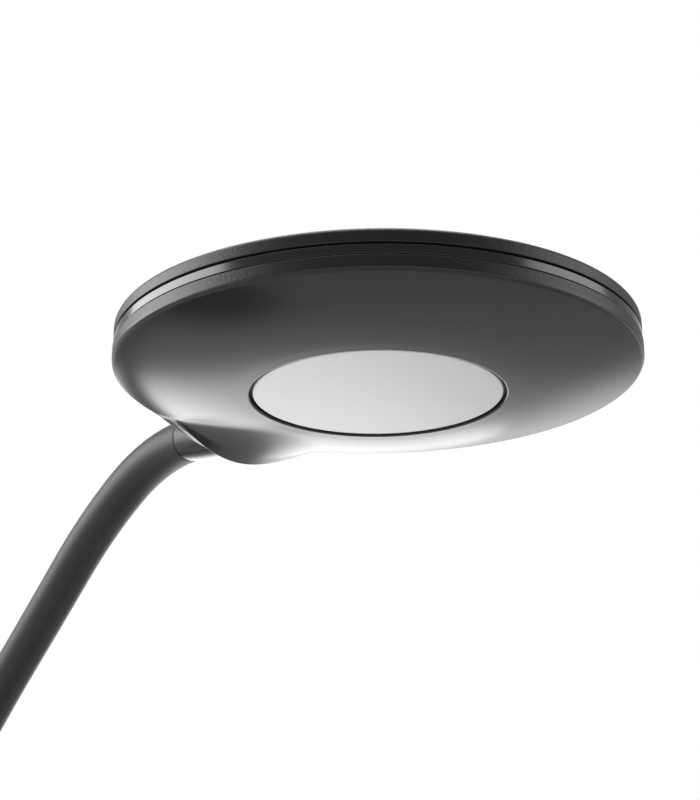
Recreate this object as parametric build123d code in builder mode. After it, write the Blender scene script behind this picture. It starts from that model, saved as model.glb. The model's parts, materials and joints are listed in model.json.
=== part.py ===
from build123d import *
import os
from math import cos, hypot, pi, radians, sin

# Piano lamp: a disc-shaped LED head on a bending neck, which stands in a weighted round base.
# Millimetres, +Z up. The origin is the middle of the base's underside, and the head is over +X.

# ================================================================= driving dimensions
# Head. Heights in the head are counted upwards from the rim's lower edge.
HEAD_R = 80.0  # outside radius of the disc
RIM_H = 12.1  # height of the rim
TOP_CROWN = 1.2  # the top cover is this much higher in the middle
TOP_FLAT_R = 50.0  # flat middle of the top cover
DOME_DEPTH = 7.3  # how far the opening's lip hangs below the rim
UNDERSIDE_W = 41.1  # width of the dished underside, from the rim to the opening for the lens
LIP_SLOPE = 1.7  # degrees, slope of the underside at the opening
SHELL_WALL = 1.8
STEP_Z = 4.25  # top of the lower shell's outer wall
STEP_W = 2.0  # width of the step under the trim band
UPSTAND_W = 1.6  # thin wall behind the trim band
EDGE_R = 1.5  # rounding of the head's outer edges
LIP_R = 0.45  # rounding of the opening's edge
BAND_H = 2.65
BAND_LOW_GAP = 0.35  # shadow line under the band
BAND_HIGH_GAP = 0.65  # deeper groove over it
BAND_INSET = 0.35  # the band stands back from the disc's edge
BAND_FIT = 0.05
TOP_DRAFT = 0.25  # the top cover is this much smaller in radius
SKIRT_W = 1.6  # the top cover's inner skirt
SKIRT_REACH = 2.6  # how far it reaches down behind the upstand
SKIRT_FIT = 0.2
NOTCH_L = 16.0  # gap in the skirt, which the neck's fittings pass
NOTCH_HALF = 14.0
TAB_COUNT = 6  # snap tabs on the skirt
TAB_ARC = 14.0  # degrees
TAB_FROM = 30.0
TAB_W = 0.6
TAB_H = 0.8
TAB_FIT = 0.1

# Scoop: the fairing under the neck, moulded in one with the lower shell.
SCOOP_DEPTH = 7.95  # below the rim's lower edge, at the rim
SCOOP_HALF = 42.0  # half its width at the rim
SCOOP_SPREAD = 0.22  # power of the way out by which it widens
SCOOP_FALL = 0.75  # power of the sine by which its floor falls
SCOOP_L = 40.0  # how far from the rim it starts
SCOOP_STEPS = (0.06, 0.25, 0.5, 0.75, 1.02)  # sections, as shares of the way out to the rim
SCOOP_SUNK = 0.15  # how far its sides start above the underside's skin

# Lens and light engine.
LENS_GAP = 1.1  # between the lens and the edge of its opening
LENS_RECESS = 0.5
LENS_EDGE_R = 0.35
LENS_T = 2.0
LENS_FLANGE_W = 1.1
LENS_FLANGE_T = 1.0
RING_SEAT_W = 2.5  # width of the ring's seat on the shell
RING_T = 0.5
RING_FIT = 0.1
SEAT_FIT = 0.05
REFLECTOR_T = 0.9
REFLECTOR_IN = 6.2  # how much smaller in radius it is at the LED board than the lens
LED_BOARD_IN = 4.8  # how much smaller in radius the LED board is than the lens
LED_BOARD_T = 1.6
LED_BOARD_Z = 2.0
LED_W = 3.0
LED_T = 0.8
LED_EDGE = 4.2  # from the board's edge to the outer ring of LEDs
LED_RING_PITCH = 9.9  # from one ring of LEDs to the next
LED_PITCH = 12.9  # about the distance between LEDs in a ring
LED_SCREW_EDGE = 9.5  # from the board's edge to its screws
LED_SCREWS = 3
SPREADER_W = 13.1  # how far the heat spreader reaches past the opening's edge
SPREADER_T = 2.0
SPREADER_SCREW_EDGE = 5.0  # from its edge to its screws
SPREADER_SCREWS = 4
BOSS_R = 3.6
WIRE_HOLE_R = 2.2

# Neck.
SLEEVE_R = 7.65
HOSE_R = 6.0
HOSE_BORE_R = 3.0
LEAD_R = 1.5
LINK = 44.0  # length of each part of the neck
BENDS = (6.0, 11.0, 13.0, 12.0, 9.0, 2.9, -0.8, 12.4, 28.6)  # degrees that each part turns
PIVOT_GAP = 0.3  # between a ball end and the next part's cup
CUP_WALL = 1.5
HOSE_FIT = 0.05
LEAD_FIT = 0.2

# Collar between the neck and the head.
COLLAR_L = 23.6  # from the disc's edge out to the neck's end
COLLAR_IN = 5.0  # how far it goes in behind the disc's edge
COLLAR_NECK_R = 7.4
COLLAR_WAIST_R = 7.85
COLLAR_WAIST_S = 6.6  # how far the waist is from the neck's end
COLLAR_HEAD_R = 7.9
COLLAR_DROP = 1.2  # how much lower its middle is at the disc's edge than the ferrule's axis
COLLAR_FIT = 0.25
NECK_END_LOW = 0.3  # how far the neck's middle ends below the middle of the rim's height

# Ferrules: threaded end fittings of the neck's hose.
FERRULE_R = 5.0
FERRULE_BORE_R = 1.7
FERRULE_FIT = 0.1
THREAD_R = 4.0
THREAD_FIT = 0.05
THREAD_HOLE_FIT = 0.2
SPIGOT_L = 14.0
SPIGOT_FIT = 0.05
NUT_FLATS = 13.0
NUT_T = 4.8
THREAD_OUT = 2.4  # thread that shows past the nut
RIB_T = 3.0  # the shell's rib that the head's ferrule is clamped to
RIB_HALF = 11.0
RIB_GAP = 1.3  # between the rib and the top cover

# Base.
BASE_R = 90.0
BASE_H = 20.0
BASE_EDGE_R = 7.0
BASE_WALL = 2.2
BASE_LIFT = 1.2  # lower edge of the cover over the table
PAD_INSET = 1.5  # the pad is this much smaller in radius than the plate
PAD_T = 1.6
PLATE_FIT = 0.8
PLATE_T = 1.2
WEIGHT_FIT = 3.8
WEIGHT_GAP = 2.3  # between the weight and the cover's top wall
WEIGHT_EDGE_R = 1.0
NECK_X = -45.0  # where the neck stands
SOCKET_R = 15.5
SOCKET_TOP_R = 10.3
SOCKET_H = 28.0
SOCKET_FOOT = 3.0
SOCKET_CUP = 10.0  # how deep the neck sits in it
SOCKET_FIT = 0.1
SOCKET_FLARE = 60.0  # radius of its hollow side
SOCKET_EDGE_R = 1.0
ROOT_POCKET_R = 9.0
ROOT_WEB = 2.8  # iron between the nut's pocket and the weight's top
ROOT_BOSS_R = 11.0
COVER_SCREW_EDGE = 15.0  # from the base's edge to its screws
COVER_SCREWS = 3
COVER_SCREW_FROM = 30.0  # degrees
COVER_BOSS_R = 4.0
BOSS_FIT = 0.5
CHANNEL_W = 5.0
CHANNEL_H = 5.2
CORD_CHANNEL_W = 8.0
CORD_CHANNEL_Y = 16.0
CORD_CHANNEL_X = -64.0

# Driver board, switch and button.
BOARD_X = 26.0
BOARD_L = 62.0
BOARD_W = 38.0
BOARD_T = 1.6
POCKET_FIT = 2.0
POCKET_FLOOR = 6.0
STAND_H = 1.5
STAND_R = 2.8
BOARD_HOLES_L = 56.0
BOARD_HOLES_W = 32.0
SWITCH_X = 45.0
SWITCH_W = 12.0
SWITCH_H = 5.0
SWITCH_BORE = 4.0
PLUNGER_R = 2.5
PLUNGER_FIT = 0.1
PLUNGER_SUNK = 1.5
BUTTON_R = 10.0
BUTTON_PROUD = 3.0
BUTTON_WALL = 1.4
BUTTON_FIT = 0.35
BUTTON_FLANGE_W = 1.6
BUTTON_FLANGE_T = 1.2
BUTTON_REST_GAP = 0.3
BUTTON_EDGE_R = 1.2
BUTTON_TRAVEL = 2.0
BUTTON_DISH = 0.6  # depth of the hollow for the finger
BUTTON_RIM_W = 2.2  # width of the cap's edge round it
STEM_R = 3.2

# Parts on the driver board. Places are counted from the board's end towards the neck.
PARTS_GAP = 1.2  # between the tallest one and the cover's top wall
INLET_X = 1.5
INLET_Y = 2.5
INLET_L = 3.0
INLET_W = 6.0
INLET_H = 4.0
CHOKE_X = 6.0
CHOKE_L = 9.0
CHOKE_W = 10.0
CHOKE_LOW = 1.0  # how much lower it is than the transformer
TRANSFORMER_X = 19.0
TRANSFORMER_L = 14.0
TRANSFORMER_W = 15.0
TRANSFORMER_Y = -1.5
CAP_R = 3.5
CAP_LOW = 0.5
CAPS = ((14.0, -12.0), (24.0, 13.0))

# Inlet for the mains lead.
GLAND_LIFT = 0.2  # between its inner flange and the plate
GLAND_BORE_R = 3.1
GLAND_NECK_R = 4.4
GLAND_FLANGE_R = 5.6
GLAND_FLANGE_T = 1.6
GLAND_FIT = 0.1

# Lead inside the lamp.
LEAD_FLOOR_FIT = 0.1  # between the lead and the plate
LEAD_ONTO_BOARD = 2.0  # from the board's end to where the lead comes up to it
LEAD_FOOT_R = 3.0
LEAD_BEND_R = 5.0
LEAD_OUT = 2.3  # how far it goes straight on past the head's ferrule
LEAD_EDGE = 3.0  # how far before the heat spreader's edge it levels out
LEAD_DOWN_R = 2.5

# Screws.
SCREW_R = 1.5
SCREW_HEAD_R = 2.75
SCREW_HEAD_H = 1.3
SCREW_TAP_FIT = 0.05
SCREW_CLEARANCE = 0.3
SCREW_IN = 5.0  # how far a screw goes into what holds it
SCREW_OUT = 0.4  # how far a screw stands out of thin sheet
DRIVER_SCREW_IN = 3.5
SCREW_KEY_R = 1.2  # hexagon socket in the head
SCREW_KEY_T = 0.8

# ================================================================= worked out from them
OPENING_R = HEAD_R - UNDERSIDE_W
SCOOP_FROM = HEAD_R - SCOOP_L
LENS_R = OPENING_R - LENS_GAP
RING_R = OPENING_R + RING_SEAT_W
REFLECTOR_TOP_R = LENS_R - REFLECTOR_IN
LED_BOARD_R = LENS_R - LED_BOARD_IN
LED_RING_R = LED_BOARD_R - LED_EDGE
SPREADER_R = OPENING_R + SPREADER_W
RIM_INNER_R = HEAD_R - STEP_W - UPSTAND_W
UPSTAND_R = HEAD_R - STEP_W
BAND_Z = STEP_Z + BAND_LOW_GAP
COVER_Z = BAND_Z + BAND_H + BAND_HIGH_GAP
UPSTAND_TOP = COVER_Z - BAND_LOW_GAP
COVER_R = HEAD_R - TOP_DRAFT
CEILING_Z = RIM_H - SHELL_WALL
RIB_TOP = CEILING_Z - RIB_GAP
SPREADER_Z = LED_BOARD_Z + LED_BOARD_T
SOCKET_TOP = BASE_H + SOCKET_H
ROOT_Z = SOCKET_TOP - SOCKET_CUP
COVER_CEILING = BASE_H - BASE_WALL
PLATE_R = BASE_R - BASE_WALL - PLATE_FIT
PAD_R = PLATE_R - PAD_INSET
WEIGHT_R = BASE_R - BASE_WALL - WEIGHT_FIT
WEIGHT_Z = PAD_T + PLATE_T
WEIGHT_TOP = COVER_CEILING - WEIGHT_GAP
ROOT_POCKET_TOP = WEIGHT_TOP - ROOT_WEB
CHANNEL_TOP = WEIGHT_Z + CHANNEL_H
GLAND_Z = WEIGHT_Z + GLAND_LIFT + GLAND_FLANGE_R
CORD_CHANNEL_Z = GLAND_Z - GLAND_BORE_R
BOARD_Z = POCKET_FLOOR + STAND_H
BOARD_TOP = BOARD_Z + BOARD_T
BOARD_END = BOARD_X - BOARD_L / 2
PARTS_H = COVER_CEILING - PARTS_GAP - BOARD_TOP
LEAD_RUN_X = BOARD_END + LEAD_ONTO_BOARD
LEAD_RUN_Z = WEIGHT_Z + LEAD_R + LEAD_FLOOR_FIT
SWITCH_TOP = BOARD_TOP + SWITCH_H
CUP_R = SLEEVE_R + PIVOT_GAP
HOSE_FROM = CUP_R + CUP_WALL
LAST = len(BENDS) - 1


def lean_dir(lean):
    """Unit vector that leans this many degrees from upright towards +X."""
    return Vector(sin(radians(lean)), 0, cos(radians(lean)))


def arc_chord(length, turn):
    """Straight distance between the ends of an arc of this length that turns this many degrees."""
    half = radians(turn / 2)
    return length * sin(half) / half if half else length


def neck_line():
    """Start point of each part of the neck and its lean there, and the same for the neck's end."""
    points, leans = [Vector(NECK_X, 0, SOCKET_TOP)], [0.0]
    for bend in BENDS:
        points.append(points[-1] + lean_dir(leans[-1] + bend / 2) * arc_chord(LINK, bend))
        leans.append(leans[-1] + bend)
    return points, leans


PIVOTS, LEANS = neck_line()
HEAD_X = PIVOTS[-1].X + HEAD_R + COLLAR_L
HEAD_Z = PIVOTS[-1].Z - (RIM_H / 2 - NECK_END_LOW)
HEAD_SIDE = Plane((HEAD_X, 0, HEAD_Z), x_dir=(1, 0, 0), z_dir=(0, -1, 0))
HEAD_AXIS = Axis((HEAD_X, 0, 0), (0, 0, 1))
SKIRT_R = RIM_INNER_R - SKIRT_FIT
SKIRT_Z = UPSTAND_TOP - SKIRT_REACH
STEM_Z = SWITCH_TOP + BUTTON_TRAVEL + BUTTON_REST_GAP
BUTTON_FLANGE_Z = COVER_CEILING - BUTTON_REST_GAP - BUTTON_FLANGE_T


def neck_plane(point, lean):
    """Plane square to the neck, with its X axis on the inside of the bend."""
    return Plane(point, x_dir=(cos(radians(lean)), 0, -sin(radians(lean))), z_dir=lean_dir(lean))


def along(part, s):
    """Plane square to one part of the neck, s from its start along its arc."""
    turn = BENDS[part] * s / LINK
    chord = arc_chord(s, turn)
    return neck_plane(PIVOTS[part] + lean_dir(LEANS[part] + turn / 2) * chord, LEANS[part] + turn)


def past_end(s):
    """Plane square to the head's ferrule, s beyond the neck's end."""
    return neck_plane(PIVOTS[-1] + lean_dir(LEANS[-1]) * s, LEANS[-1])


def reach(distance):
    """How far beyond the neck's end the ferrule's axis is this far from the head's middle."""
    return (HEAD_R + COLLAR_L - distance) / lean_dir(LEANS[-1]).X


CLAMP_S = reach(HEAD_R - COLLAR_IN)  # where the head's ferrule meets the shell's rib
EDGE_S = reach(HEAD_R)  # where its axis crosses the disc's edge
NUT_S = CLAMP_S + RIB_T
FERRULE_END_S = NUT_S + NUT_T + THREAD_OUT


def bent_rod(part, s0, s1, radius, mode=Mode.ADD):
    """Adds a rod along one part of the neck, from s0 to s1 on its arc."""
    plane = along(part, s0)
    centre = plane.origin + plane.x_dir * (LINK / radians(BENDS[part]))
    with BuildSketch(plane) as disc:
        Circle(radius)
    turn = BENDS[part] * (s1 - s0) / LINK
    way = 1 if turn > 0 else -1
    revolve(disc.sketch, axis=Axis(centre, (0, way, 0)), revolution_arc=abs(turn), mode=mode)


def straight_rod(plane, length, radius, mode=Mode.ADD):
    """Adds a straight rod that stands on a plane."""
    with BuildSketch(plane) as disc:
        Circle(radius)
    extrude(disc.sketch, amount=length, mode=mode)


def post(x, y, z0, z1, radius, mode=Mode.ADD):
    """Adds an upright cylinder between two heights."""
    straight_rod(Plane((x, y, z0)), z1 - z0, radius, mode)


def around(count, radius, start=0.0, middle=0.0):
    """Evenly spaced points on a circle whose middle is this far along +X."""
    angles = [radians(start + 360 * i / count) for i in range(count)]
    return [(middle + radius * cos(a), radius * sin(a)) for a in angles]


def save(builder, name):
    """Labels a finished piece and writes it."""
    builder.part.label = name
    export_step(builder.part, f"parts/{name}.step")


os.makedirs("parts", exist_ok=True)


# ================================================================= neck
def make_sleeve(part):
    """One length of the rubber sleeve: a ball at its upper end, and a cup for the ball below."""
    hose_from = HOSE_FROM if part else 0
    with BuildPart() as sleeve:
        bent_rod(part, 0, LINK, SLEEVE_R)
        if part < LAST:
            with Locations(PIVOTS[part + 1]):
                Sphere(SLEEVE_R)
            straight_rod(along(part, LINK), SLEEVE_R, LEAD_R + LEAD_FIT, Mode.SUBTRACT)
        if part:
            with Locations(PIVOTS[part]):
                Sphere(CUP_R, mode=Mode.SUBTRACT)
            bent_rod(part, 0, HOSE_FROM, LEAD_R + LEAD_FIT, Mode.SUBTRACT)
        else:
            straight_rod(along(0, 0), -SOCKET_CUP, SLEEVE_R)
            straight_rod(along(0, 0), -SOCKET_CUP, HOSE_R, Mode.SUBTRACT)
        bent_rod(part, hose_from, LINK, HOSE_R, Mode.SUBTRACT)
    save(sleeve, f"sleeve_{part + 1}")


def make_hose(part):
    """One length of the wound steel hose inside the sleeve."""
    first = HOSE_FROM + HOSE_FIT if part else 0
    last = LINK - HOSE_FIT if part < LAST else LINK
    with BuildPart() as hose:
        bent_rod(part, first, last, HOSE_R - HOSE_FIT)
        if not part:
            straight_rod(along(0, 0), -SOCKET_CUP, HOSE_R - HOSE_FIT)
            straight_rod(along(0, 0), -SOCKET_CUP, HOSE_BORE_R, Mode.SUBTRACT)
        bent_rod(part, first, last, HOSE_BORE_R, Mode.SUBTRACT)
    save(hose, f"hose_{part + 1}")


def root_route():
    """The lead's run from the driver board along the weight's channel and up into the neck."""
    with BuildLine(Plane.XZ) as route:
        FilletPolyline(
            (NECK_X, SOCKET_TOP),
            (NECK_X, LEAD_RUN_Z),
            (LEAD_RUN_X, LEAD_RUN_Z),
            (LEAD_RUN_X, BOARD_Z),
            radius=(LEAD_FOOT_R, LEAD_DOWN_R),
        )
    return route.line


def head_route():
    """The lead's run through the ferrule, over the heat spreader and down to the LED board."""
    end, rise = PIVOTS[-1], past_end(FERRULE_END_S + LEAD_OUT).origin
    over = HEAD_Z + SPREADER_Z + SPREADER_T + LEAD_R + LEAD_FIT
    with BuildLine(Plane.XZ) as route:
        FilletPolyline(
            (end.X, end.Z),
            (rise.X, rise.Z),
            (HEAD_X - SPREADER_R - LEAD_EDGE, over),
            (HEAD_X, over),
            (HEAD_X, HEAD_Z + LED_BOARD_Z),
            radius=(LEAD_BEND_R, LEAD_BEND_R, LEAD_DOWN_R),
        )
    return route.line


def make_lead(part):
    """One length of the low-voltage lead."""
    first = CUP_R + LEAD_FIT if part else 0
    with BuildPart() as lead:
        bent_rod(part, first, LINK, LEAD_R)
        if part < LAST:
            straight_rod(along(part, LINK), SLEEVE_R - LEAD_FIT, LEAD_R)
        if part in (0, LAST):
            route = head_route() if part else root_route()
            with BuildSketch(Plane(route @ 0, z_dir=route % 0)) as disc:
                Circle(LEAD_R)
            sweep(disc.sketch, path=route)
    save(lead, f"lead_{part + 1}")


for number in range(len(BENDS)):
    make_sleeve(number)
    make_hose(number)
    make_lead(number)


# ================================================================= ferrules, nuts and collar
def make_nut(plane, name):
    """Hexagon nut that stands on a plane, with two of its flats across the plane's Y axis."""
    with BuildPart() as nut:
        with BuildSketch(plane):
            RegularPolygon(NUT_FLATS / 2, 6, major_radius=False, rotation=30)
            Circle(THREAD_R + THREAD_FIT, mode=Mode.SUBTRACT)
        extrude(amount=NUT_T)
    save(nut, name)


with BuildPart() as neck_ferrule:
    bent_rod(LAST, LINK - SPIGOT_L, LINK, HOSE_BORE_R - SPIGOT_FIT)
    straight_rod(past_end(0), CLAMP_S, FERRULE_R)
    straight_rod(past_end(CLAMP_S), RIB_T + NUT_T + THREAD_OUT, THREAD_R)
    bent_rod(LAST, LINK - SPIGOT_L, LINK, FERRULE_BORE_R, Mode.SUBTRACT)
    straight_rod(past_end(0), FERRULE_END_S, FERRULE_BORE_R, Mode.SUBTRACT)
save(neck_ferrule, "neck_ferrule")
make_nut(past_end(NUT_S), "ferrule_nut")

with BuildPart() as root_ferrule:
    post(NECK_X, 0, ROOT_Z, SOCKET_TOP, HOSE_BORE_R - SPIGOT_FIT)
    post(NECK_X, 0, BASE_H, ROOT_Z, FERRULE_R)
    post(NECK_X, 0, ROOT_POCKET_TOP - NUT_T - THREAD_FIT, BASE_H, THREAD_R)
    post(NECK_X, 0, 0, SOCKET_TOP, FERRULE_BORE_R, Mode.SUBTRACT)
save(root_ferrule, "root_ferrule")
make_nut(Plane((NECK_X, 0, ROOT_POCKET_TOP - NUT_T)), "root_nut")


def collar_form(fit=0.0):
    """The collar's outer form: a short trumpet, then a straight end inside the head."""
    sections = (
        (0.0, COLLAR_NECK_R, 0.0),
        (COLLAR_WAIST_S, COLLAR_WAIST_R, COLLAR_DROP / 3),
        (EDGE_S, COLLAR_HEAD_R, COLLAR_DROP),
    )
    rings = []
    for s, radius, drop in sections:
        with BuildSketch(past_end(s)) as ring:
            with Locations((drop, 0)):
                Circle(radius + fit)
        rings.append(ring.sketch)
    loft(rings)
    extrude(rings[-1], amount=CLAMP_S - EDGE_S)


with BuildPart() as neck_collar:
    collar_form()
    straight_rod(past_end(0), CLAMP_S, FERRULE_R + FERRULE_FIT, Mode.SUBTRACT)
save(neck_collar, "neck_collar")

with BuildPart() as collar_hole:
    collar_form(COLLAR_FIT)


# ================================================================= lower shell
def dome_height(r):
    """Height of the underside's skin at this distance from the head's middle."""
    return DOME_CENTRE_Z - (DOME_R**2 - (r - DOME_CENTRE_R) ** 2) ** 0.5


# The underside's arc leaves the lip at LIP_SLOPE and ends at the rim's lower edge.
DOME_RUN = HEAD_R - OPENING_R
DOME_R = (DOME_RUN**2 + DOME_DEPTH**2) / (
    2 * (DOME_DEPTH * cos(radians(LIP_SLOPE)) - DOME_RUN * sin(radians(LIP_SLOPE)))
)
DOME_CENTRE_R = OPENING_R - DOME_R * sin(radians(LIP_SLOPE))
DOME_CENTRE_Z = DOME_R * cos(radians(LIP_SLOPE)) - DOME_DEPTH


def underside_profile(wall, inner, edge, top):
    """Half profile over the underside's arc moved in by wall, between two radii and up to top."""
    arc_r = DOME_R - wall
    lip = (OPENING_R, DOME_CENTRE_Z - (arc_r**2 - (OPENING_R - DOME_CENTRE_R) ** 2) ** 0.5)
    rim = (edge, DOME_CENTRE_Z - (arc_r**2 - (edge - DOME_CENTRE_R) ** 2) ** 0.5)
    middle = [] if inner else [(0, lip[1])]
    with BuildSketch(HEAD_SIDE) as profile:
        with BuildLine():
            RadiusArc(lip, rim, -arc_r)
            Polyline(rim, (edge, top), (inner, top), *middle, lip)
        make_face()
        if not wall:
            fillet(profile.vertices().sort_by_distance((*rim, 0))[0], EDGE_R)
            fillet(profile.vertices().sort_by_distance((*lip, 0))[0], LIP_R)
    return profile.sketch


def scoop_form(wall):
    """The scoop's form, moved in by wall: bell-shaped sections that widen towards the rim."""
    sections = []
    for share in SCOOP_STEPS:
        x = SCOOP_FROM + (HEAD_R - SCOOP_FROM) * share
        half = SCOOP_HALF * share**SCOOP_SPREAD - wall
        side = min(dome_height(min(hypot(x, half), HEAD_R)) + SCOOP_SUNK, 0) + wall
        start = dome_height(SCOOP_FROM)
        low = start - (SCOOP_DEPTH + start) * sin(pi / 2 * min(share, 1)) ** SCOOP_FALL + wall
        plane = Plane((HEAD_X - x, 0, HEAD_Z), x_dir=(0, -1, 0), z_dir=(-1, 0, 0))
        with BuildSketch(plane) as section:
            with BuildLine():
                Spline(
                    (-half, side),
                    (-half / 2, (side + low) / 2),
                    (0, low),
                    (half / 2, (side + low) / 2),
                    (half, side),
                    tangents=((1, 0), (1, 0)),
                )
                Polyline((half, side), (half, STEP_Z), (-half, STEP_Z), (-half, side))
            make_face()
        sections.append(section.sketch)
    loft(sections)


def scoop_body(wall, top, radius):
    """The scoop's form, cut off at the disc's edge or at its inner wall."""
    with BuildPart() as body:
        scoop_form(wall)
        disc(-HEAD_R, top, radius, Mode.INTERSECT)
    return body.part


def disc(z0, z1, radius, mode=Mode.ADD):
    """Adds a round plate on the head's axis, between two heights in the head."""
    post(HEAD_X, 0, HEAD_Z + z0, HEAD_Z + z1, radius, mode)


SPREADER_POINTS = around(SPREADER_SCREWS, SPREADER_R - SPREADER_SCREW_EDGE, 45, HEAD_X)
LED_SCREW_POINTS = around(LED_SCREWS, LED_BOARD_R - LED_SCREW_EDGE, 0, HEAD_X)
scoop_outside = scoop_body(0, STEP_Z, HEAD_R)
scoop_inside = scoop_body(SHELL_WALL, STEP_Z, RIM_INNER_R)

with BuildPart() as shell_hollow:
    revolve(underside_profile(SHELL_WALL, 0, RIM_INNER_R, RIB_TOP), axis=HEAD_AXIS)
    add(scoop_inside)
    for x, y in SPREADER_POINTS:
        post(x, y, HEAD_Z - HEAD_R, HEAD_Z + SPREADER_Z, BOSS_R, Mode.SUBTRACT)
    with BuildSketch(past_end(CLAMP_S)) as rib:
        Rectangle(HEAD_R, 2 * RIB_HALF)
    extrude(rib.sketch, amount=RIB_T, mode=Mode.SUBTRACT)

with BuildPart() as lower_shell:
    revolve(underside_profile(0, OPENING_R, HEAD_R, STEP_Z), axis=HEAD_AXIS)
    disc(0, UPSTAND_TOP, UPSTAND_R)
    disc(0, RIB_TOP, RIM_INNER_R)
    add(scoop_outside)
    add(shell_hollow.part, mode=Mode.SUBTRACT)
    add(collar_hole.part, mode=Mode.SUBTRACT)
    straight_rod(past_end(CLAMP_S), RIB_T, THREAD_R + THREAD_HOLE_FIT, Mode.SUBTRACT)
    for x, y in SPREADER_POINTS:
        post(
            x, y, HEAD_Z + SPREADER_Z - SCREW_IN - SCREW_CLEARANCE, HEAD_Z + SPREADER_Z,
            SCREW_R + SCREW_TAP_FIT, Mode.SUBTRACT,
        )
    with BuildSketch(HEAD_SIDE) as groove:
        with Locations((RIM_INNER_R - SKIRT_W, SKIRT_Z)):
            Rectangle(SKIRT_W + TAB_W, TAB_H + 2 * TAB_FIT, align=(Align.MIN, Align.MIN))
    revolve(groove.sketch, axis=HEAD_AXIS, mode=Mode.SUBTRACT)
save(lower_shell, "lower_shell")


# ================================================================= band and top cover
with BuildPart() as trim_band:
    disc(BAND_Z, BAND_Z + BAND_H, HEAD_R - BAND_INSET)
    disc(BAND_Z, BAND_Z + BAND_H, UPSTAND_R + BAND_FIT, Mode.SUBTRACT)
    add(collar_hole.part, mode=Mode.SUBTRACT)
save(trim_band, "trim_band")


def cover_profile():
    """Half profile of the top cover: a low crown, the outer wall and the skirt behind it."""
    edge, wall_in = COVER_R, COVER_R - SHELL_WALL
    skirt_in = SKIRT_R - SKIRT_W
    top, ceiling = RIM_H + TOP_CROWN, CEILING_Z + TOP_CROWN
    with BuildSketch(HEAD_SIDE) as profile:
        with BuildLine():
            Polyline((TOP_FLAT_R, ceiling), (0, ceiling), (0, top), (TOP_FLAT_R, top))
            TangentArc((TOP_FLAT_R, top), (edge, RIM_H), tangent=(1, 0))
            Polyline(
                (edge, RIM_H),
                (edge, COVER_Z),
                (wall_in, COVER_Z),
                (wall_in, CEILING_Z),
                (SKIRT_R, CEILING_Z),
                (SKIRT_R, SKIRT_Z),
                (skirt_in, SKIRT_Z),
                (skirt_in, CEILING_Z),
            )
            TangentArc((TOP_FLAT_R, ceiling), (skirt_in, CEILING_Z), tangent=(1, 0))
        make_face()
        fillet(profile.vertices().sort_by_distance((edge, RIM_H, 0))[0], EDGE_R)
    return profile.sketch


with BuildPart() as top_cover:
    revolve(cover_profile(), axis=HEAD_AXIS)
    with BuildSketch(HEAD_SIDE) as tab:
        with Locations((SKIRT_R, SKIRT_Z + TAB_FIT)):
            Rectangle(TAB_W, TAB_H, align=(Align.MIN, Align.MIN))
    first_tab = tab.sketch.rotate(HEAD_AXIS, TAB_FROM - TAB_ARC / 2)
    for turn in range(0, 360, 360 // TAB_COUNT):
        revolve(first_tab.rotate(HEAD_AXIS, turn), axis=HEAD_AXIS, revolution_arc=TAB_ARC)
    with Locations((HEAD_X - HEAD_R + COLLAR_IN, 0, HEAD_Z + SKIRT_Z)):
        Box(
            NOTCH_L, 2 * NOTCH_HALF, CEILING_Z - SKIRT_Z,
            align=(Align.CENTER, Align.CENTER, Align.MIN), mode=Mode.SUBTRACT,
        )
    add(collar_hole.part, mode=Mode.SUBTRACT)
save(top_cover, "top_cover")


# ================================================================= lens and light engine
def inside_height(r):
    """Height of the lower shell's inner skin at this distance from the head's middle."""
    return DOME_CENTRE_Z - ((DOME_R - SHELL_WALL) ** 2 - (r - DOME_CENTRE_R) ** 2) ** 0.5


RING_Z = inside_height(RING_R) + SEAT_FIT
FLANGE_Z = RING_Z + RING_T + SEAT_FIT
FLANGE_TOP = FLANGE_Z + LENS_FLANGE_T
FLANGE_R = LENS_R + LENS_FLANGE_W
LENS_Z = LENS_RECESS - DOME_DEPTH
REFLECTOR_Z = FLANGE_TOP + SEAT_FIT

with BuildPart() as diffuser:
    disc(LENS_Z, FLANGE_TOP, LENS_R)
    fillet(diffuser.edges().sort_by(Axis.Z)[0], LENS_EDGE_R)
    disc(FLANGE_Z, FLANGE_TOP, FLANGE_R)
    disc(LENS_Z + LENS_T, FLANGE_TOP, LENS_R - LENS_FLANGE_W, Mode.SUBTRACT)
save(diffuser, "diffuser")

with BuildPart() as diffuser_ring:
    disc(RING_Z, FLANGE_TOP, RING_R)
    disc(RING_Z, FLANGE_TOP, LENS_R + RING_FIT, Mode.SUBTRACT)
    disc(RING_Z + RING_T, FLANGE_TOP, FLANGE_R + RING_FIT, Mode.SUBTRACT)
save(diffuser_ring, "diffuser_ring")

with BuildPart() as reflector:
    with BuildSketch(HEAD_SIDE):
        with BuildLine():
            Polyline(
                (RING_R, REFLECTOR_Z),
                (RING_R, REFLECTOR_Z + REFLECTOR_T),
                (LENS_R, REFLECTOR_Z + REFLECTOR_T),
                (REFLECTOR_TOP_R, LED_BOARD_Z - SEAT_FIT),
                (REFLECTOR_TOP_R - REFLECTOR_T, LED_BOARD_Z - SEAT_FIT),
                (LENS_R - LENS_FLANGE_W, REFLECTOR_Z),
                (RING_R, REFLECTOR_Z),
            )
        make_face()
    revolve(axis=HEAD_AXIS)
save(reflector, "reflector")

with BuildPart() as led_board:
    disc(LED_BOARD_Z, SPREADER_Z, LED_BOARD_R)
    disc(LED_BOARD_Z, SPREADER_Z, WIRE_HOLE_R, Mode.SUBTRACT)
    for x, y in LED_SCREW_POINTS:
        post(
            x, y, HEAD_Z + LED_BOARD_Z, HEAD_Z + SPREADER_Z,
            SCREW_R + SCREW_CLEARANCE, Mode.SUBTRACT,
        )
save(led_board, "led_board")

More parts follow.
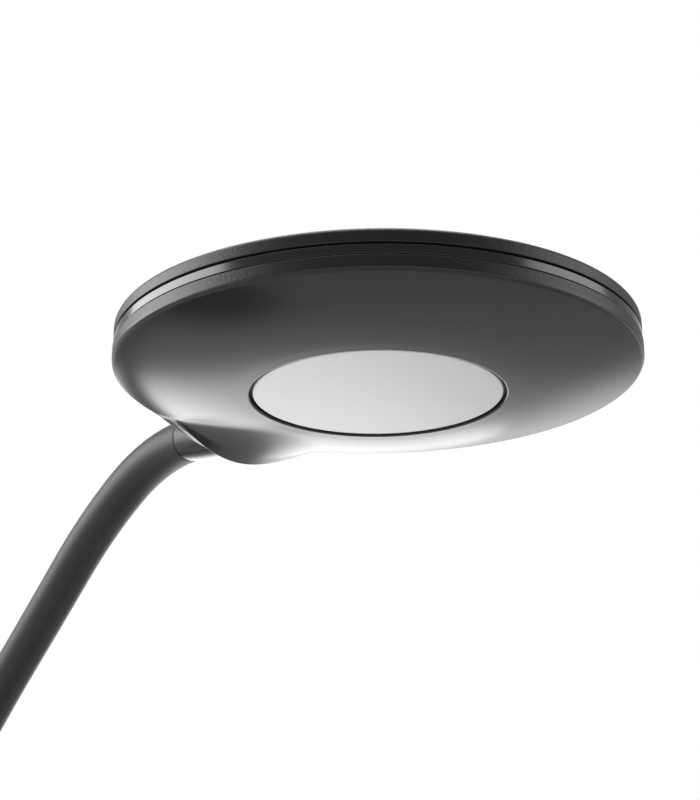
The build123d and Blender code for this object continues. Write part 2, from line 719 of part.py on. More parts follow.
with BuildPart() as leds:
    with Locations((HEAD_X, 0, HEAD_Z + LED_BOARD_Z)):
        for ring_number in range(int((LED_RING_R - WIRE_HOLE_R - LED_W) // LED_RING_PITCH) + 1):
            radius = LED_RING_R - ring_number * LED_RING_PITCH
            with PolarLocations(radius, int(2 * pi * radius // LED_PITCH)):
                Box(LED_W, LED_W, LED_T, align=(Align.CENTER, Align.CENTER, Align.MAX))
save(leds, "leds")

with BuildPart() as heat_spreader:
    disc(SPREADER_Z, SPREADER_Z + SPREADER_T, SPREADER_R)
    disc(SPREADER_Z, SPREADER_Z + SPREADER_T, WIRE_HOLE_R, Mode.SUBTRACT)
    for radius, points in (
        (SCREW_R + SCREW_CLEARANCE, SPREADER_POINTS),
        (SCREW_R + SCREW_TAP_FIT, LED_SCREW_POINTS),
    ):
        for x, y in points:
            post(
                x, y, HEAD_Z + SPREADER_Z, HEAD_Z + SPREADER_Z + SPREADER_T,
                radius, Mode.SUBTRACT,
            )
save(heat_spreader, "heat_spreader")


# ================================================================= screws
def make_screws(name, points, seat, length, way):
    """Equal screws in one piece, with their heads on a face at height seat; way is 1 for upwards."""
    with BuildPart() as screws:
        for x, y in points:
            post(x, y, seat - way * SCREW_HEAD_H, seat, SCREW_HEAD_R)
            post(x, y, seat, seat + way * length, SCREW_R)
            with BuildSketch(Plane((x, y, seat - way * SCREW_HEAD_H))) as key:
                RegularPolygon(SCREW_KEY_R, 6)
            extrude(key.sketch, amount=way * SCREW_KEY_T, mode=Mode.SUBTRACT)
    save(screws, name)


BASE_SCREW_POINTS = around(COVER_SCREWS, BASE_R - COVER_SCREW_EDGE, COVER_SCREW_FROM)
STAND_POINTS = [
    (BOARD_X + x * BOARD_HOLES_L / 2, y * BOARD_HOLES_W / 2) for x in (-1, 1) for y in (-1, 1)
]

make_screws(
    "board_screws", LED_SCREW_POINTS, HEAD_Z + LED_BOARD_Z,
    LED_BOARD_T + SPREADER_T + SCREW_OUT, 1,
)
make_screws(
    "spreader_screws", SPREADER_POINTS, HEAD_Z + SPREADER_Z + SPREADER_T,
    SPREADER_T + SCREW_IN, -1,
)
make_screws("driver_screws", STAND_POINTS, BOARD_TOP, BOARD_T + DRIVER_SCREW_IN, -1)
make_screws("base_screws", BASE_SCREW_POINTS, PAD_T, PLATE_T + SCREW_IN, 1)


# ================================================================= base
def tap_holes(points, z0, z1, fit):
    """Cuts a hole for each screw between two heights."""
    for x, y in points:
        post(x, y, z0, z1, SCREW_R + fit, Mode.SUBTRACT)


def block(x0, x1, y0, y1, z0, z1, mode=Mode.ADD):
    """Adds a block between these limits."""
    with Locations(((x0 + x1) / 2, (y0 + y1) / 2, (z0 + z1) / 2)):
        Box(x1 - x0, y1 - y0, z1 - z0, mode=mode)


def cover_walls():
    """Half profile of the base's cover, a shallow bowl upside down."""
    inner = BASE_R - BASE_WALL
    with BuildSketch(Plane.XZ) as profile:
        with BuildLine():
            Polyline(
                (0, BASE_H),
                (BASE_R, BASE_H),
                (BASE_R, BASE_LIFT),
                (inner, BASE_LIFT),
                (inner, COVER_CEILING),
                (0, COVER_CEILING),
                (0, BASE_H),
            )
        make_face()
        fillet(profile.vertices().sort_by_distance((BASE_R, BASE_H, 0))[0], BASE_EDGE_R)
        fillet(
            profile.vertices().sort_by_distance((inner, COVER_CEILING, 0))[0],
            BASE_EDGE_R - BASE_WALL,
        )
    return profile.sketch


with BuildPart() as base_cover:
    revolve(cover_walls(), axis=Axis.Z)
    for x, y in BASE_SCREW_POINTS:
        post(x, y, WEIGHT_Z, COVER_CEILING, COVER_BOSS_R)
    post(NECK_X, 0, WEIGHT_TOP, COVER_CEILING, ROOT_BOSS_R)
    tap_holes(BASE_SCREW_POINTS, WEIGHT_Z, WEIGHT_Z + SCREW_IN + SCREW_CLEARANCE, SCREW_TAP_FIT)
    post(NECK_X, 0, WEIGHT_TOP, BASE_H, THREAD_R + THREAD_HOLE_FIT, Mode.SUBTRACT)
    post(SWITCH_X, 0, COVER_CEILING, BASE_H, BUTTON_R + BUTTON_FIT, Mode.SUBTRACT)
    straight_rod(
        Plane((-BASE_R, 0, GLAND_Z), z_dir=(1, 0, 0)), 2 * BASE_WALL,
        GLAND_NECK_R + GLAND_FIT, Mode.SUBTRACT,
    )
save(base_cover, "base_cover")

with BuildPart() as base_weight:
    post(0, 0, WEIGHT_Z, WEIGHT_TOP, WEIGHT_R)
    fillet(base_weight.edges().filter_by(GeomType.CIRCLE), WEIGHT_EDGE_R)
    post(NECK_X, 0, WEIGHT_Z, ROOT_POCKET_TOP, ROOT_POCKET_R, Mode.SUBTRACT)
    post(NECK_X, 0, WEIGHT_Z, WEIGHT_TOP, THREAD_R + THREAD_HOLE_FIT, Mode.SUBTRACT)
    for x, y in BASE_SCREW_POINTS:
        post(x, y, WEIGHT_Z, WEIGHT_TOP, COVER_BOSS_R + BOSS_FIT, Mode.SUBTRACT)
    half_w = BOARD_W / 2 + POCKET_FIT
    block(
        BOARD_END - POCKET_FIT, BOARD_END + BOARD_L + POCKET_FIT, -half_w, half_w,
        POCKET_FLOOR, WEIGHT_TOP, Mode.SUBTRACT,
    )
    for x, y in STAND_POINTS:
        post(x, y, POCKET_FLOOR, BOARD_Z, STAND_R)
    block(
        NECK_X, LEAD_RUN_X + CHANNEL_W / 2, -CHANNEL_W / 2, CHANNEL_W / 2, WEIGHT_Z, CHANNEL_TOP,
        Mode.SUBTRACT,
    )
    tap_holes(STAND_POINTS, BOARD_Z - DRIVER_SCREW_IN - SCREW_CLEARANCE, BOARD_Z, SCREW_TAP_FIT)
    near, far = CORD_CHANNEL_Y - CORD_CHANNEL_W / 2, CORD_CHANNEL_Y + CORD_CHANNEL_W / 2
    left, right = CORD_CHANNEL_X - CORD_CHANNEL_W / 2, CORD_CHANNEL_X + CORD_CHANNEL_W / 2
    for x0, x1, y0, y1 in (
        (-BASE_R, right, -CORD_CHANNEL_W / 2, CORD_CHANNEL_W / 2),
        (left, right, -CORD_CHANNEL_W / 2, far),
        (left, BOARD_END - POCKET_FIT, near, far),
    ):
        block(x0, x1, y0, y1, CORD_CHANNEL_Z, WEIGHT_TOP, Mode.SUBTRACT)
save(base_weight, "base_weight")

with BuildPart() as base_plate:
    post(0, 0, PAD_T, WEIGHT_Z, PLATE_R)
    tap_holes(BASE_SCREW_POINTS, PAD_T, WEIGHT_Z, SCREW_CLEARANCE)
save(base_plate, "base_plate")

with BuildPart() as foot_pad:
    post(0, 0, 0, PAD_T, PAD_R)
    for x, y in BASE_SCREW_POINTS:
        post(x, y, 0, PAD_T, SCREW_HEAD_R + SCREW_CLEARANCE, Mode.SUBTRACT)
save(foot_pad, "foot_pad")

with BuildPart() as neck_socket:
    with BuildSketch(Plane.XZ) as half:
        with BuildLine():
            Polyline((0, SOCKET_TOP), (0, BASE_H), (SOCKET_R, BASE_H), (SOCKET_R, BASE_H + SOCKET_FOOT))
            RadiusArc((SOCKET_R, BASE_H + SOCKET_FOOT), (SOCKET_TOP_R, SOCKET_TOP), SOCKET_FLARE)
            Line((SOCKET_TOP_R, SOCKET_TOP), (0, SOCKET_TOP))
        make_face()
        fillet(
            half.vertices().sort_by_distance((SOCKET_TOP_R, SOCKET_TOP, 0))[0], SOCKET_EDGE_R
        )
    revolve(half.sketch.moved(Location((NECK_X, 0, 0))), axis=Axis((NECK_X, 0, 0), (0, 0, 1)))
    post(NECK_X, 0, ROOT_Z, SOCKET_TOP, SLEEVE_R + SOCKET_FIT, Mode.SUBTRACT)
    post(NECK_X, 0, BASE_H, SOCKET_TOP, FERRULE_R + FERRULE_FIT, Mode.SUBTRACT)
save(neck_socket, "neck_socket")


# ================================================================= driver, switch and button
with BuildPart() as driver_board:
    block(
        BOARD_END, BOARD_END + BOARD_L, -BOARD_W / 2, BOARD_W / 2,
        BOARD_Z, BOARD_TOP,
    )
    tap_holes(STAND_POINTS, BOARD_Z, BOARD_TOP, SCREW_CLEARANCE)
save(driver_board, "driver_board")

with BuildPart() as driver_parts:
    for x, y, length, width, height in (
        (INLET_X, INLET_Y + INLET_W / 2, INLET_L, INLET_W, INLET_H),
        (CHOKE_X, 0, CHOKE_L, CHOKE_W, PARTS_H - CHOKE_LOW),
        (TRANSFORMER_X, TRANSFORMER_Y, TRANSFORMER_L, TRANSFORMER_W, PARTS_H),
    ):
        block(
            BOARD_END + x, BOARD_END + x + length, y - width / 2, y + width / 2,
            BOARD_TOP, BOARD_TOP + height,
        )
    for x, y in CAPS:
        post(BOARD_END + x, y, BOARD_TOP, BOARD_TOP + PARTS_H - CAP_LOW, CAP_R)
save(driver_parts, "driver_parts")

with BuildPart() as switch_body:
    half = SWITCH_W / 2
    block(SWITCH_X - half, SWITCH_X + half, -half, half, BOARD_TOP, SWITCH_TOP)
    post(
        SWITCH_X, 0, SWITCH_TOP - SWITCH_BORE, SWITCH_TOP, PLUNGER_R + PLUNGER_FIT, Mode.SUBTRACT
    )
save(switch_body, "switch_body")

with BuildPart() as switch_plunger:
    post(SWITCH_X, 0, SWITCH_TOP - PLUNGER_SUNK, STEM_Z, PLUNGER_R)
save(switch_plunger, "switch_plunger")

DISH_R = ((BUTTON_R - BUTTON_RIM_W) ** 2 + BUTTON_DISH**2) / (2 * BUTTON_DISH)

with BuildPart() as push_button:
    post(SWITCH_X, 0, BUTTON_FLANGE_Z, BASE_H + BUTTON_PROUD, BUTTON_R)
    fillet(push_button.edges().sort_by(Axis.Z)[-1], BUTTON_EDGE_R)
    with Locations((SWITCH_X, 0, BASE_H + BUTTON_PROUD - BUTTON_DISH + DISH_R)):
        Sphere(DISH_R, mode=Mode.SUBTRACT)
    post(SWITCH_X, 0, BUTTON_FLANGE_Z, BUTTON_FLANGE_Z + BUTTON_FLANGE_T, BUTTON_R + BUTTON_FLANGE_W)
    post(
        SWITCH_X, 0, BUTTON_FLANGE_Z, BASE_H + BUTTON_PROUD - BUTTON_WALL,
        BUTTON_R - BUTTON_WALL, Mode.SUBTRACT,
    )
    post(SWITCH_X, 0, STEM_Z, BASE_H + BUTTON_PROUD - BUTTON_WALL, STEM_R)
save(push_button, "push_button")

# The gland clips into the cover's round wall: its inner flange bears where that wall is nearest.
GLAND_INNER_X = -((BASE_R - BASE_WALL) ** 2 - GLAND_FLANGE_R**2) ** 0.5 + SEAT_FIT

with BuildPart() as cord_gland:
    for x, length, radius in (
        (-BASE_R - GLAND_FLANGE_T, GLAND_FLANGE_T, GLAND_FLANGE_R),
        (-BASE_R, BASE_R + GLAND_INNER_X, GLAND_NECK_R),
        (GLAND_INNER_X, GLAND_FLANGE_T, GLAND_FLANGE_R),
    ):
        straight_rod(Plane((x, 0, GLAND_Z), z_dir=(1, 0, 0)), length, radius)
    straight_rod(
        Plane((-BASE_R - GLAND_FLANGE_T, 0, GLAND_Z), z_dir=(1, 0, 0)),
        BASE_R + GLAND_INNER_X + 2 * GLAND_FLANGE_T, GLAND_BORE_R, Mode.SUBTRACT,
    )
save(cord_gland, "cord_gland")
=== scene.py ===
import json

import bmesh
import bpy
import numpy as np
from mathutils import Matrix, Vector


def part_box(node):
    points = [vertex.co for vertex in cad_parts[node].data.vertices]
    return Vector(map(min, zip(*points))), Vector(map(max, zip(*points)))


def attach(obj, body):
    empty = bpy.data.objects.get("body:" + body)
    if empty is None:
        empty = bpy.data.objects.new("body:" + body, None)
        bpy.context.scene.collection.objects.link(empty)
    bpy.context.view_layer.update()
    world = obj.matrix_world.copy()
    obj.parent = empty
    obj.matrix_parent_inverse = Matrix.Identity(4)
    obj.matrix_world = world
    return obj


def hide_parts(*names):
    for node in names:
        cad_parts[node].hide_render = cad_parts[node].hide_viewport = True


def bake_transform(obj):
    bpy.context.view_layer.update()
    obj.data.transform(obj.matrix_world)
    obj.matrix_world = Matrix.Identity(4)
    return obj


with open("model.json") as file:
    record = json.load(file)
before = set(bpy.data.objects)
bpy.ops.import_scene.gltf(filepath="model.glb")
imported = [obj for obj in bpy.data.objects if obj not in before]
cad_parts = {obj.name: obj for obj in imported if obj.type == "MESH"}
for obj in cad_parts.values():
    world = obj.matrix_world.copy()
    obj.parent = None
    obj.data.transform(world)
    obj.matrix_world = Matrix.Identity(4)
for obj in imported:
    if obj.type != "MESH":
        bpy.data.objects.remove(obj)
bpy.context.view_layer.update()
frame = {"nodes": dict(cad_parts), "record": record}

# ------------------------------------------------------------------ the eye below the head
# The eye is half a metre from the head and lower than it, so it looks up at the underside from
# the side that faces away from the neck. All sizes are in millimetres until a mesh is made.
MM = 0.001
EYE_AZIMUTH = 52.0
EYE_BELOW = 19.21
EYE_ROLL = -0.309
EYE_DISTANCE = 533.3
HEAD_ASIDE = 8.38
HEAD_UP = 7.90
LENS_LENGTH = 79.19
FILM = 36.0
BAND_OVER_RIM = 4.6

shell_low, shell_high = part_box("lower_shell")
band_low, band_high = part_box("trim_band")
HEAD_X = (shell_low.x + shell_high.x) / 2 / MM
RIM_Z = band_low.z / MM - BAND_OVER_RIM

turn, lift, roll = np.radians((EYE_AZIMUTH, EYE_BELOW, EYE_ROLL))
away = Vector((-np.sin(turn), np.cos(turn), 0))
level = Vector((np.cos(turn), np.sin(turn), 0))
ahead = away * np.cos(lift) + Vector((0, 0, np.sin(lift)))
upright = Vector((0, 0, np.cos(lift))) - away * np.sin(lift)
right = level * np.cos(roll) + upright * np.sin(roll)
up = upright * np.cos(roll) - level * np.sin(roll)
rim_middle = Vector((HEAD_X, 0, RIM_Z))
eye = rim_middle - right * HEAD_ASIDE - up * HEAD_UP - ahead * EYE_DISTANCE

camera_data = bpy.data.cameras.new("eye")
camera_data.sensor_width = FILM
camera_data.lens = LENS_LENGTH
camera = bpy.data.objects.new("eye", camera_data)
facing = Matrix((right, up, -ahead)).transposed().to_4x4()
camera.matrix_world = Matrix.Translation(eye * MM) @ facing
bpy.context.scene.collection.objects.link(camera)
bpy.context.scene.camera = camera
bpy.context.scene.view_settings.view_transform = "Standard"


# ------------------------------------------------------------------ lower shell
# One ABS moulding: the shallow dish that shows from below, the rim's lower wall and the scoop
# under the neck. The mould's walls are spark-eroded to a fine grain, and the dish is drawn smooth.
HEAD_R = 80.0
OPENING_R = 38.9
DISH_DEPTH = 7.3
LIP_SLOPE = np.radians(1.7)
LIP_RUN = 4.0
RIM_RUN = 2.2
SHELL_WALL = 1.8
STEP_Z = 4.25
UPSTAND_R = 78.0
UPSTAND_IN_R = 76.4
UPSTAND_TOP = 7.55
RIM_ROUND = 1.5
LIP_ROUND = 0.45
STEP_ROUND = 0.25
UPSTAND_ROUND = 0.2
CORNER_ROUND = 0.1
SCOOP_DEPTH = 10.0
SCOOP_HALF = 45.0
SCOOP_SPREAD = 0.22
SCOOP_FROM = 40.0
SCOOP_FAIRING = 0.6
SCOOP_UNDER_STEP = 0.5
FALL_FROM = 45.0
EDGE_R = 74.0
EDGE_RISE = 4.0
EDGE_SLOPE = 1.7
EDGE_ROUND = 0.6
TURN_STEPS = 384
ARC_POINTS = 9
SAME_POINT = 1e-7


def closed_surface(name, grid, around=True, along=False):
    """Mesh of a grid of points (rows, columns, xyz) in millimetres. Each point is joined to the
    next in its row and to the same one in the next row; around joins the last column to the
    first, along the last row to the first. Rows that shrink to a point become a pole."""
    rows, columns = grid.shape[:2]
    index = np.arange(rows * columns).reshape(rows, columns)
    if around:
        index = np.concatenate((index, index[:, :1]), axis=1)
    if along:
        index = np.concatenate((index, index[:1]), axis=0)
    corners = np.stack((index[:-1, :-1], index[:-1, 1:], index[1:, 1:], index[1:, :-1]), axis=-1)
    corners = corners.reshape(-1, 4)
    mesh = bpy.data.meshes.new(name)
    mesh.vertices.add(rows * columns)
    mesh.vertices.foreach_set("co", (grid * MM).ravel())
    mesh.loops.add(corners.size)
    mesh.loops.foreach_set("vertex_index", corners.ravel())
    mesh.polygons.add(len(corners))
    mesh.polygons.foreach_set("loop_start", np.arange(0, corners.size, 4))
    mesh.update(calc_edges=True)
    work = bmesh.new()
    work.from_mesh(mesh)
    bmesh.ops.remove_doubles(work, verts=work.verts, dist=SAME_POINT)
    bmesh.ops.recalc_face_normals(work, faces=work.faces)
    work.to_mesh(mesh)
    work.free()
    mesh.shade_smooth()
    piece = bpy.data.objects.new(name, mesh)
    bpy.context.scene.collection.objects.link(piece)
    return piece


def rounded(corners, support=0.15):
    """Outline through corners (r, z, rounding radius): each corner is an arc that touches both of
    its sides, and every straight side keeps a point close to each of its ends."""
    corners = np.array(corners, float)
    points, rounding = corners[:, :2], corners[:, 2]
    outline = []
    for i, corner in enumerate(points):
        before, after = points[i - 1] - corner, points[(i + 1) % len(points)] - corner
        if rounding[i] == 0 or i in (0, len(points) - 1):
            outline.append([corner])
            continue
        before, after = before / np.linalg.norm(before), after / np.linalg.norm(after)
        half = np.arccos(np.clip(before @ after, -1, 1)) / 2
        inward = (before + after) / np.linalg.norm(before + after)
        middle = corner + inward * rounding[i] / np.sin(half)
        start = corner + before * rounding[i] / np.tan(half) - middle
        end = corner + after * rounding[i] / np.tan(half) - middle
        sweep = np.arctan2(start[0] * end[1] - start[1] * end[0], start @ end)
        t = np.linspace(0, sweep, ARC_POINTS)[:, None]
        side = np.array((-start[1], start[0]))
        outline.append(middle + start * np.cos(t) + side * np.sin(t))
    joined = [outline[0]]
    for arc in outline[1:]:
        start, end = joined[-1][-1], arc[0]
        run = np.linalg.norm(end - start)
        if run > 4 * support:
            way = (end - start) / run
            joined.append(np.array((start + way * support, end - way * support)))
        joined.append(arc)
    return np.concatenate(joined)


def turned(outline, x=0.0, y=0.0, z=0.0, steps=TURN_STEPS):
    """Grid of an outline (r, height) turned about an upright axis through (x, y), z being its
    foot."""
    angle = np.linspace(0, 2 * np.pi, steps, endpoint=False)
    r, height = outline[:, :1], outline[:, 1:]
    return np.stack(
        (x + r * np.cos(angle), y + r * np.sin(angle), z + height + 0 * angle), axis=-1
    )


DISH_W = HEAD_R - OPENING_R
DISH_R = (DISH_W**2 + DISH_DEPTH**2) / (
    2 * (DISH_DEPTH * np.cos(LIP_SLOPE) - DISH_W * np.sin(LIP_SLOPE))
)
DISH_MIDDLE_R = OPENING_R - DISH_R * np.sin(LIP_SLOPE)
DISH_MIDDLE_Z = DISH_R * np.cos(LIP_SLOPE) - DISH_DEPTH


def dish(r, wall=0.0):
    """Height of the dish at distance r: an arc of DISH_R less the wall, about its own middle."""
    return DISH_MIDDLE_Z - np.sqrt((DISH_R - wall) ** 2 - (r - DISH_MIDDLE_R) ** 2)


def scoop(x, y):
    """How far the scoop lies under the dish. Outwards its floor falls by the square of the distance
    to an edge, and past that edge it turns up again along a hyperbola that a hyperbolic tangent
    levels off. Its width grows by a power of the way out, and across it is one cosine wave from
    the dish's height at its side. A parabola of SCOOP_FAIRING either way joins it to the dish."""
    share = np.clip((-x - SCOOP_FROM) / (HEAD_R - SCOOP_FROM), 1e-6, 1)
    half = SCOOP_HALF * share**SCOOP_SPREAD
    side = dish(np.minimum(np.hypot(x, half), HEAD_R)) + SCOOP_FAIRING
    r = np.hypot(x, y)
    fall = np.clip((r - FALL_FROM) / (EDGE_R - FALL_FROM), 0, 1) ** 2
    floor = dish(SCOOP_FROM) - (SCOOP_DEPTH + dish(SCOOP_FROM)) * fall
    rise = EDGE_SLOPE * (np.hypot(EDGE_ROUND, np.maximum(r - EDGE_R, 0)) - EDGE_ROUND)
    floor += EDGE_RISE * np.tanh(rise / EDGE_RISE)
    wave = (1 + np.cos(np.pi * np.clip(np.abs(y) / half, 0, 1))) / 2
    under = dish(np.minimum(r, HEAD_R)) - side - (floor - side) * wave
    under = np.where((-x > SCOOP_FROM) & (np.abs(y) < half), under, -SCOOP_FAIRING)
    return np.where(
        under > SCOOP_FAIRING, under,
        np.maximum(under + SCOOP_FAIRING, 0) ** 2 / (4 * SCOOP_FAIRING),
    )


def dish_line(r0, r1, count, wall=0.0):
    """Points of the dish's arc between two radii."""
    r = np.linspace(r0, r1, count)
    return np.stack((r, dish(r, wall)), axis=1)


lip_arc = rounded([
    (OPENING_R, dish(OPENING_R) + SHELL_WALL, 0),
    (OPENING_R, dish(OPENING_R), LIP_ROUND),
    (OPENING_R + LIP_RUN, dish(OPENING_R + LIP_RUN), 0),
])[:-1]
rim_arc = rounded([
    (HEAD_R - RIM_RUN, dish(HEAD_R - RIM_RUN), 0),
    (HEAD_R, dish(HEAD_R), RIM_ROUND),
    (HEAD_R, STEP_Z, STEP_ROUND),
    (UPSTAND_R, STEP_Z, CORNER_ROUND),
    (UPSTAND_R, UPSTAND_TOP, UPSTAND_ROUND),
    (UPSTAND_IN_R, UPSTAND_TOP, UPSTAND_ROUND),
    (UPSTAND_IN_R, dish(UPSTAND_IN_R, SHELL_WALL), 0),
])[1:]
# The dish's rows, from and to a radius: they are close together where the scoop's edge turns up.
shell_outline = np.concatenate((
    lip_arc,
    dish_line(OPENING_R + LIP_RUN, EDGE_R - 1, 40),
    dish_line(EDGE_R - 0.85, EDGE_R + 1.6, 18),
    dish_line(EDGE_R + 1.9, HEAD_R - RIM_RUN, 6),
    rim_arc,
    dish_line(UPSTAND_IN_R, OPENING_R, 24, SHELL_WALL)[1:-1],
))
shell_grid = turned(shell_outline)
scoop_top = STEP_Z - SCOOP_UNDER_STEP
drop = scoop(shell_grid[..., 0], shell_grid[..., 1])
drop *= np.clip((scoop_top - shell_grid[..., 2]) / scoop_top, 0, 1)
shell_grid[..., 2] -= drop
shell_grid += (HEAD_X, 0, RIM_Z)
lower_shell = closed_surface("dished_shell", shell_grid, along=True)


def linear(hex_colour):
    """sRGB hex colour as linear RGBA."""
    value = np.array([int(hex_colour[i:i + 2], 16) for i in (1, 3, 5)]) / 255
    value = np.where(value <= 0.04045, value / 12.92, ((value + 0.055) / 1.055) ** 2.4)
    return (*value.tolist(), 1.0)


def plug(material, node, links=(), values=()):
    """Sets a node's input values and links its inputs to the outputs of other nodes."""
    for socket, value in dict(values).items():
        node.inputs[socket].default_value = value
    for socket, source in dict(links).items():
        material.node_tree.links.new(source, node.inputs[socket])


def add(material, kind, links=(), values=(), **settings):
    """Adds a node of this kind with its settings, input values and links."""
    node = material.node_tree.nodes.new(kind)
    for setting, value in settings.items():
        setattr(node, setting, value)
    plug(material, node, links, values)
    return node


def new_material(name):
    """A node material and its principled node."""
    material = bpy.data.materials.new(name)
    material.use_nodes = True
    return material, material.node_tree.nodes["Principled BSDF"]


def dress(piece, material):
    """Gives a piece one material."""
    piece.data.materials.clear()
    piece.data.materials.append(material)


# Moulded ABS: a dark grey with a plain plastic gloss. On the walls the spark-eroded grain catches
# the light as fine sparkle; its pits are 0.2 mm wide, and are drawn at 0.6 mm so that they show.
GRAIN = 0.6
PIT_DEPTH = 0.22
CLOUD = 14.0
GRAIN_FROM = 0.2
GRAIN_FULL = 1.4
moulded_abs, skin = new_material("moulded_abs")
place = add(moulded_abs, "ShaderNodeTexCoord")
height = add(moulded_abs, "ShaderNodeSeparateXYZ", {"Vector": place.outputs["Object"]})
wall_part = add(
    moulded_abs, "ShaderNodeMapRange", {"Value": height.outputs["Z"]},
    {"From Min": (RIM_Z + GRAIN_FROM) * MM, "From Max": (RIM_Z + GRAIN_FULL) * MM},
    name="wall_part",
)
grain = add(
    moulded_abs, "ShaderNodeTexNoise", {"Vector": place.outputs["Object"]},
    {"Scale": 1 / (GRAIN * MM), "Detail": 1.5, "Roughness": 0.6},
)
cloudy = add(
    moulded_abs, "ShaderNodeTexNoise", {"Vector": place.outputs["Object"]},
    {"Scale": 1 / (CLOUD * MM), "Detail": 2.0},
)
shade = add(
    moulded_abs, "ShaderNodeMix", {"Factor": cloudy.outputs["Fac"]},
    {"A": linear("#1f1f21"), "B": linear("#242426")}, data_type="RGBA",
)
gloss = add(
    moulded_abs, "ShaderNodeMapRange", {"Value": wall_part.outputs["Result"]},
    {"To Min": 0.23, "To Max": 0.42},
)
depth = add(
    moulded_abs, "ShaderNodeMath",
    {0: wall_part.outputs["Result"]}, {1: 0.5}, operation="MULTIPLY",
)
pits = add(
    moulded_abs, "ShaderNodeBump",
    {"Height": grain.outputs["Fac"], "Strength": depth.outputs[0]}, {"Distance": PIT_DEPTH * MM},
)
plug(moulded_abs, skin, {
    "Base Color": shade.outputs["Result"],
    "Roughness": gloss.outputs["Result"],
    "Normal": pits.outputs["Normal"],
}, {"IOR": 1.54})

dress(lower_shell, moulded_abs)
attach(lower_shell, "head")
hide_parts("lower_shell")


# ------------------------------------------------------------------ trim band
# A polished ring of black-pigmented acrylic, pressed on to the shell's upstand. Its face is flat
# and stands back a third of a millimetre, between a hair line below it and a deeper groove above.
BAND_H = 2.65
BAND_R = 79.65
BAND_IN_R = 78.05
BAND_ROUND = 0.2
BAND_TOP = BAND_OVER_RIM + BAND_H

band_outline = rounded([
    (BAND_IN_R, BAND_OVER_RIM, 0),
    (BAND_R, BAND_OVER_RIM, BAND_ROUND),
    (BAND_R, BAND_TOP, BAND_ROUND),
    (BAND_IN_R, BAND_TOP, 0),
])
trim_band = closed_surface(
    "polished_band", turned(band_outline, HEAD_X, 0, RIM_Z), along=True
)

# Polished acrylic: deep dark grey under a mirror gloss, with a faint waviness from moulding.
WAVE = 9.0
WAVE_DEPTH = 0.05
polished_acrylic, skin = new_material("polished_acrylic")
place = add(polished_acrylic, "ShaderNodeTexCoord")
waves = add(
    polished_acrylic, "ShaderNodeTexNoise", {"Vector": place.outputs["Object"]},
    {"Scale": 1 / (WAVE * MM), "Detail": 1.0},
)
polish = add(
    polished_acrylic, "ShaderNodeMapRange", {"Value": waves.outputs["Fac"]},
    {"To Min": 0.16, "To Max": 0.22},
)
ripple = add(
    polished_acrylic, "ShaderNodeBump", {"Height": waves.outputs["Fac"]},
    {"Strength": 0.15, "Distance": WAVE_DEPTH * MM},
)
plug(polished_acrylic, skin, {
    "Roughness": polish.outputs["Result"],
    "Normal": ripple.outputs["Normal"],
}, {"Base Color": linear("#2b2b2e"), "IOR": 1.7})
dress(trim_band, polished_acrylic)
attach(trim_band, "head")
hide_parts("trim_band")


# ------------------------------------------------------------------ top cover
# The upper half of the head, moulded in the same ABS: a low crown, a rounded edge and a wall that
# leaves a dark groove over the band. It snaps into the lower shell.
COVER_R = 79.75
COVER_Z = 7.9
RIM_H = 12.1
TOP_CROWN = 1.2
TOP_FLAT_R = 50.0
CROWN_FROM = 2.0
CROWN_TO = COVER_R - 4
CROWN_R = ((COVER_R - TOP_FLAT_R) ** 2 + TOP_CROWN**2) / (2 * TOP_CROWN)


def crown(r):
    """Height over the rim of the cover's crown: flat in the middle, then an arc down to the rim."""
    return TOP_CROWN - CROWN_R + np.sqrt(CROWN_R**2 - np.maximum(r - TOP_FLAT_R, 0) ** 2)


crown_line = np.linspace(CROWN_FROM, CROWN_TO, 36)
cover_outline = np.concatenate((
    [(0, RIM_H + TOP_CROWN)],
    np.stack((crown_line, RIM_H + crown(crown_line)), axis=1),
    rounded([
        (CROWN_TO, RIM_H + crown(CROWN_TO), 0),
        (COVER_R, RIM_H, RIM_ROUND),
        (COVER_R, COVER_Z, STEP_ROUND),
        (COVER_R - SHELL_WALL, COVER_Z, UPSTAND_ROUND),
        (COVER_R - SHELL_WALL, RIM_H - SHELL_WALL, 0),
        (0, RIM_H - SHELL_WALL, 0),
    ])[1:],
))
top_cover = closed_surface("crowned_cover", turned(cover_outline, HEAD_X, 0, RIM_Z))
dress(top_cover, moulded_abs)
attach(top_cover, "head")
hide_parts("top_cover")


# ------------------------------------------------------------------ lens
# A disc of opal acrylic that fills the opening, with a softly rounded edge. It lies just inside
# the shell's lip, and a dark ring behind it shows as a thin gap all round.
LENS_R = 37.8
LENS_Z = -6.8
LENS_ROUND = 0.35
LENS_FOOT_ROUND = 0.05
LENS_FLANGE_Z = -4.85
LENS_FLANGE_R = 38.9
LENS_TOP = -3.85

lens_outline = rounded([
    (0, LENS_Z, 0),
    (LENS_R, LENS_Z, LENS_ROUND),
    (LENS_R, LENS_FLANGE_Z, LENS_FOOT_ROUND),
    (LENS_FLANGE_R, LENS_FLANGE_Z, CORNER_ROUND),
    (LENS_FLANGE_R, LENS_TOP, CORNER_ROUND),
    (0, LENS_TOP, 0),
])
lens = closed_surface("opal_lens", turned(lens_outline, HEAD_X, 0, RIM_Z))

